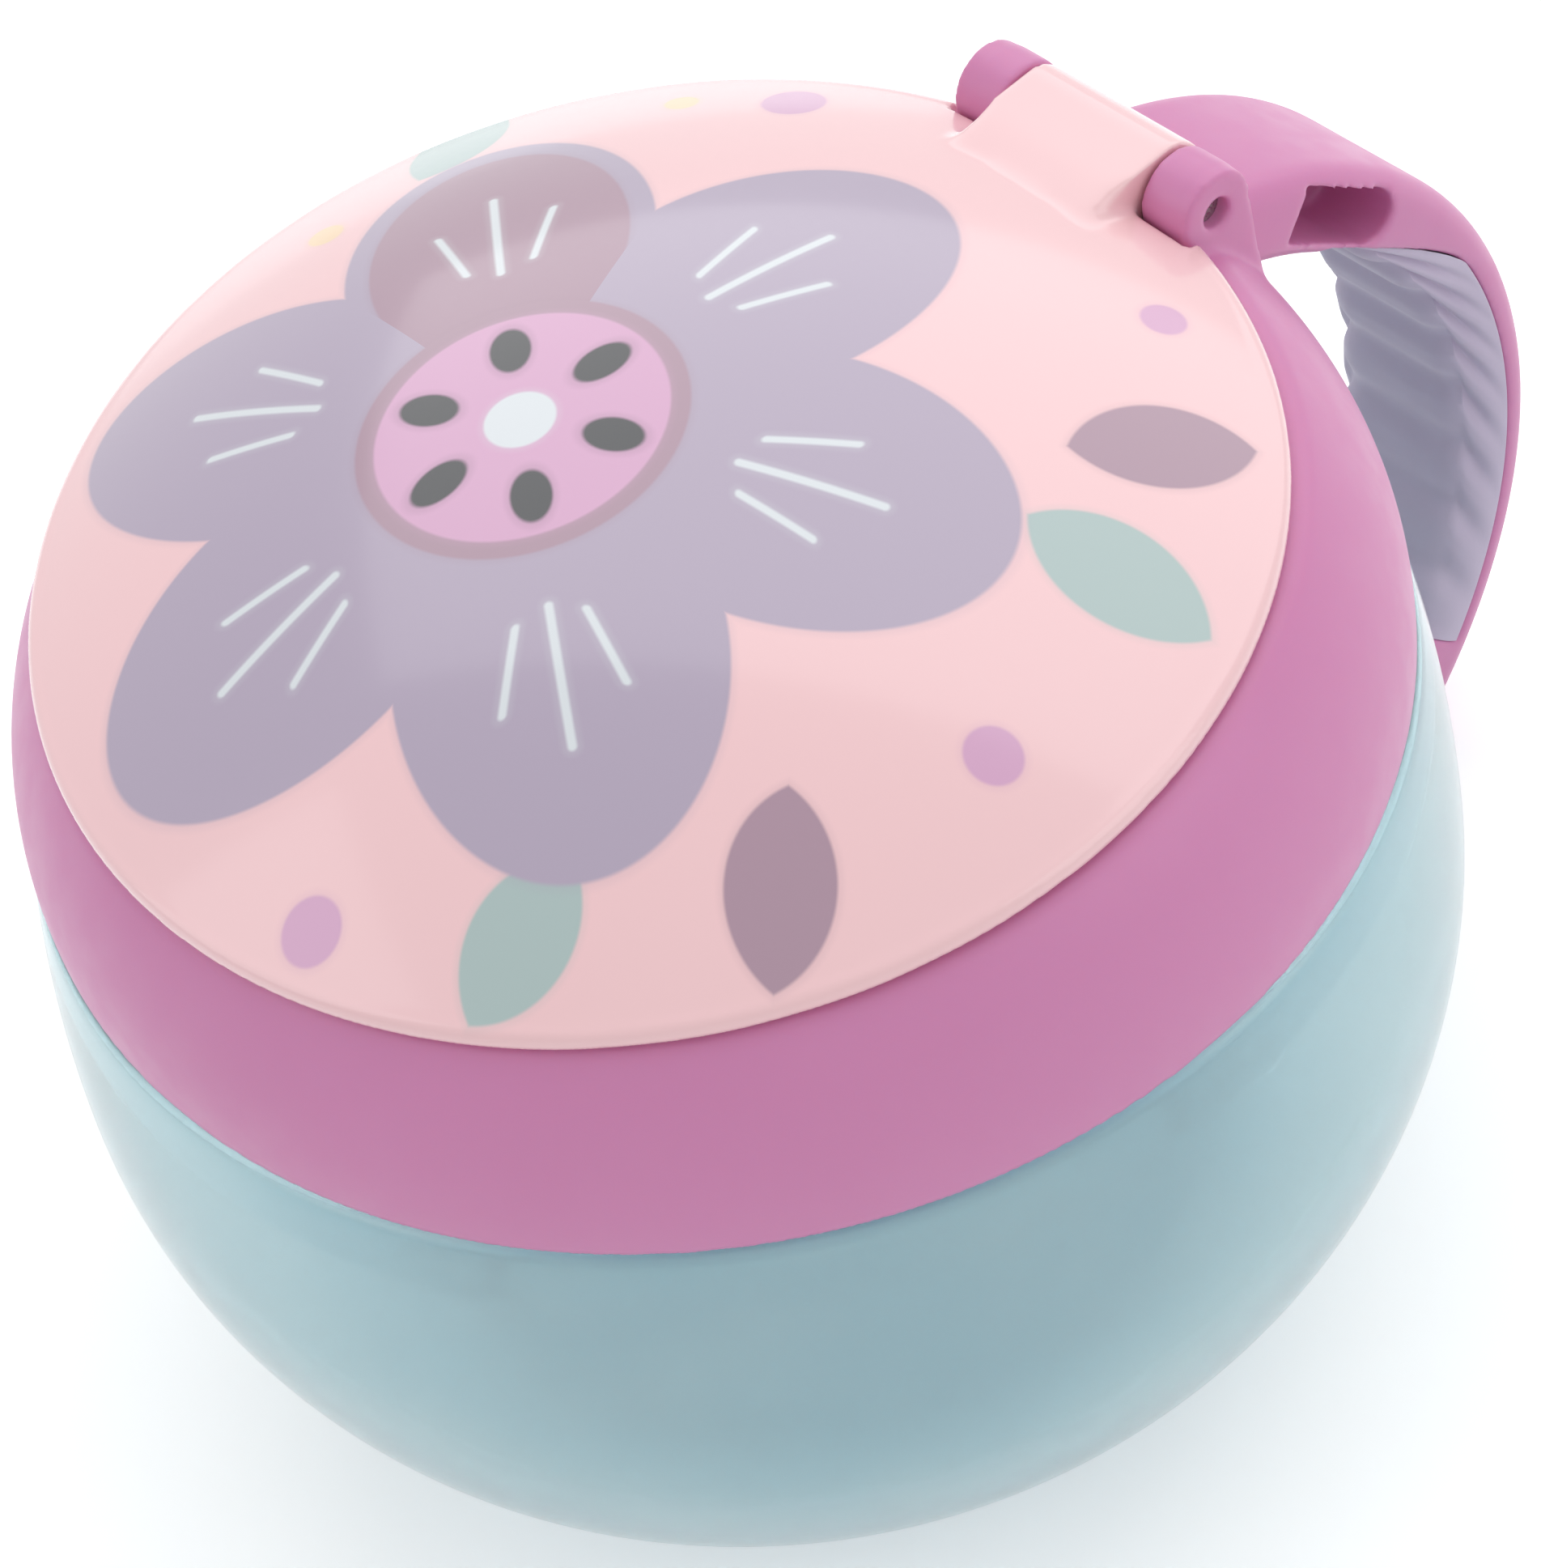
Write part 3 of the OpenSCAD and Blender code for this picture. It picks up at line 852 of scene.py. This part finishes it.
def lid_print(g):
    parts = g.node("ShaderNodeSeparateXYZ", {0: g.coord}).outputs
    x = g.math("DIVIDE", parts[0], MM)
    y = g.math("ADD", g.math("DIVIDE", parts[1], MM), LID_SHIFT)
    color = g.mix(g.ramp(g.noise(18.0), 0.3, 0.7, 0.0, 0.35), BLUSH, tint(BLUSH, 0.97))
    for cx, cy, degrees, length, width, ink in (
            (24, 20, 58, 11, 5.8, MAUVE), (27, 13, 12, 12, 6.4, MINT), (30, -14, -52, 11, 5.8, MAUVE),
            (22, -27, -84, 10, 5.6, MINT), (-37, 12, 112, 10, 5.2, MINT)):
        color = paint(g, color, leaf_sdf(g, x, y, cx, cy, degrees, length, width), ink)
    u, v = turned(g, x, y, -5.0, -5.0, 24.0)
    angle = g.math("ARCTAN2", v, u)
    radius = disc_sdf(g, u, v, 0.0, 0.0, 0.0)
    step = TAU / PETALS
    sector = g.math("ROUND", g.math("DIVIDE", angle, step))
    folded = g.math("SUBTRACT", angle, g.math("MULTIPLY", sector, step))
    px = g.math("MULTIPLY", radius, g.math("COSINE", folded))
    py = g.math("MULTIPLY", radius, g.math("SINE", folded))
    petal = oval_sdf(g, px, py, 20.5, 15.5, 11.6)
    blossom = g.math("MINIMUM", petal, g.math("SUBTRACT", radius, 16.0))
    color = paint(g, color, blossom, LILAC)
    one = g.math("COMPARE", sector, 2.0, 0.2)
    other = g.math("SUBTRACT", 1.0, one)
    far = g.math("MULTIPLY", other, 100.0)
    color = paint(g, color, g.math("ADD", oval_sdf(g, px, py, 20.5, 13.6, 9.7), far), MAUVE)
    color = paint(g, color, stroke_sdf(g, px, py, 16.5, 27.0, 0.32), CHALK)
    tilted = g.math("SUBTRACT", g.math("ABSOLUTE", py), g.math("MULTIPLY", g.math("SUBTRACT", px, 16.5), 0.3))
    side = stroke_sdf(g, px, g.math("SUBTRACT", tilted, 2.2), 17.5, 23.5, 0.3)
    color = paint(g, color, side, CHALK)
    color = paint(g, color, g.math("SUBTRACT", radius, 12.0), MAUVE)
    color = paint(g, color, g.math("SUBTRACT", radius, 10.6), ORCHID)
    color = paint(g, color, oval_sdf(g, px, py, 7.2, 2.3, 1.5), CHARCOAL)
    color = paint(g, color, g.math("SUBTRACT", radius, 2.6), CHALK)
    for cx, cy, r, ink in ((-20, 34, 2.4, ORCHID), (37, -2, 2.0, ORCHID), (10, -40, 2.2, ORCHID),
                           (-38, 3, 1.4, BUTTER), (18, 34, 1.6, ORCHID), (-27, 29, 1.3, BUTTER)):
        color = paint(g, color, disc_sdf(g, x, y, cx, cy, r), ink)
    return color


def lid_material():
    g = Graph("lid_gloss")
    centre = (LID_FRAME @ Vector((0, 0, DOME_C))) * MM
    reach = g.node("ShaderNodeVectorMath", {0: g.coord, 1: centre}, operation="DISTANCE").outputs["Value"]
    outside = g.ramp(reach, (DOME_R - 1.2) * MM, (DOME_R - 0.8) * MM)
    color = g.mix(outside, BLUSH, lid_print(g))
    speck = g.ramp(g.noise(1200.0, 2.0), 0.3, 0.7, 0.2, 0.24)
    wave = g.bump(g.noise(60.0, 1.0), 0.02, 0.25)
    return g.shader(Base_Color=color, Roughness=speck, Normal=wave, IOR=1.48, Coat_Weight=0.8,
                    Coat_Roughness=0.1)


def cad_piece(name, material, edge):
    """A node shown as the construction has it, with its edges broken."""
    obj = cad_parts[name]
    obj.data.materials.clear()
    obj.data.materials.append(material)
    weld = obj.modifiers.new("weld", "WELD")
    weld.merge_threshold = 0.002 * MM
    bevel(obj, edge, segments=2)
    return obj


def finish_piece(obj, material):
    obj.data.materials.clear()
    obj.data.materials.append(material)


# The stage, the lamps and the camera

FLOOR_Z = -0.0002
FLOOR_GLOW = 0.4


def seen_directly(tree):
    """1 for rays from the camera, and for those that gloss or clear pieces send on."""
    path = tree.nodes.new("ShaderNodeLightPath")
    total = path.outputs["Is Camera Ray"]
    for name in ("Is Glossy Ray", "Is Transmission Ray"):
        larger = tree.nodes.new("ShaderNodeMath")
        larger.operation = "MAXIMUM"
        tree.links.new(total, larger.inputs[0])
        tree.links.new(path.outputs[name], larger.inputs[1])
        total = larger.outputs[0]
    return total


def make_floor():
    size = 3.0
    mesh = bpy.data.meshes.new("floor")
    mesh.from_pydata([(-size, -size, FLOOR_Z), (size, -size, FLOOR_Z), (size, size, FLOOR_Z),
                      (-size, size, FLOOR_Z)], [], [(0, 1, 2, 3)])
    obj = bpy.data.objects.new("floor", mesh)
    bpy.context.scene.collection.objects.link(obj)
    g = Graph("floor_white")
    color = g.mix(g.ramp(g.noise(3.0), 0.3, 0.7), (0.93, 0.93, 0.93, 1), (0.92, 0.92, 0.92, 1))
    glow = g.math("MULTIPLY", seen_directly(g.tree), FLOOR_GLOW)
    obj.data.materials.append(g.shader(Base_Color=color, Roughness=0.9, Emission_Color=color,
                                       Emission_Strength=glow))


def make_world(strength):
    world = bpy.data.worlds.new("studio")
    bpy.context.scene.world = world
    world.use_nodes = True
    tree = world.node_tree
    tree.nodes.clear()
    out = tree.nodes.new("ShaderNodeOutputWorld")
    soft = tree.nodes.new("ShaderNodeBackground")
    soft.inputs[0].default_value = (0.97, 0.985, 1.0, 1.0)
    soft.inputs[1].default_value = strength
    plain = tree.nodes.new("ShaderNodeBackground")
    plain.inputs[0].default_value = (1.0, 1.0, 1.0, 1.0)
    plain.inputs[1].default_value = 1.0
    pick = tree.nodes.new("ShaderNodeMixShader")
    tree.links.new(seen_directly(tree), pick.inputs[0])
    tree.links.new(soft.outputs[0], pick.inputs[1])
    tree.links.new(plain.outputs[0], pick.inputs[2])
    tree.links.new(pick.outputs[0], out.inputs[0])


def make_lamp(name, azimuth, elevation, distance, size, power, color=(1, 1, 1)):
    """A soft rectangular lamp that faces the object."""
    data = bpy.data.lights.new(name, "AREA")
    data.shape = "RECTANGLE"
    data.size = size[0]
    data.size_y = size[1]
    data.energy = power
    data.color = color
    obj = bpy.data.objects.new(name, data)
    a = math.radians(azimuth)
    e = math.radians(elevation)
    place = Vector((math.sin(a) * math.cos(e), -math.cos(a) * math.cos(e), math.sin(e)))
    obj.location = place * distance + Vector((0, 0, 0.05))
    obj.rotation_euler = place.to_track_quat("Z", "Y").to_euler()
    bpy.context.scene.collection.objects.link(obj)
    return obj


AZIMUTH = math.radians(56.47)
ELEVATION = math.radians(48.055)
ROLL = math.radians(-13.278)
UNIT = 0.051
DISTANCE = 7.975 * UNIT
SIDE_SHIFT = 0.081 * UNIT
UP_SHIFT = -0.138 * UNIT
AIM_Z = 0.056
SENSOR = 36.0
LENS = 128.46


def make_camera():
    back = Vector((math.sin(AZIMUTH) * math.cos(ELEVATION), -math.cos(AZIMUTH) * math.cos(ELEVATION),
                   math.sin(ELEVATION)))
    right = Vector((math.cos(AZIMUTH), math.sin(AZIMUTH), 0))
    up = back.cross(right)
    side = right * math.cos(ROLL) + up * math.sin(ROLL)
    top = up * math.cos(ROLL) - right * math.sin(ROLL)
    data = bpy.data.cameras.new("camera")
    data.sensor_width = SENSOR
    data.lens = LENS
    data.clip_start = 0.01
    obj = bpy.data.objects.new("camera", data)
    turn = Matrix((side, top, back)).transposed().to_4x4()
    turn.translation = back * DISTANCE + side * SIDE_SHIFT + top * UP_SHIFT + Vector((0, 0, AIM_Z))
    obj.matrix_world = turn
    bpy.context.scene.collection.objects.link(obj)
    bpy.context.scene.camera = obj


def dress():
    finish_piece(make_cup(), cup_material())
    finish_piece(make_collar(), collar_material())
    finish_piece(make_grip(), grip_material())
    finish_piece(make_lid(), lid_material())
    soft = silicone_material()
    cad_piece("flap_ring", soft, 0.3)
    for k in range(1, 7):
        cad_piece(f"flap_{k}", soft, 0.3)
    cad_piece("cup_seal", seal_material(), 0.3)
    cad_piece("hinge_pin", steel_material(), 0.2)


dress()
make_floor()
make_world(0.6)
make_lamp("key", 212, 50, 1.2, (1.9, 1.4), 8.0)
make_lamp("side", 118, 30, 1.2, (0.7, 0.9), 1.6)
make_lamp("left", -30, 35, 1.2, (0.7, 0.9), 1.4)
make_camera()
bpy.context.scene.view_settings.view_transform = "Standard"
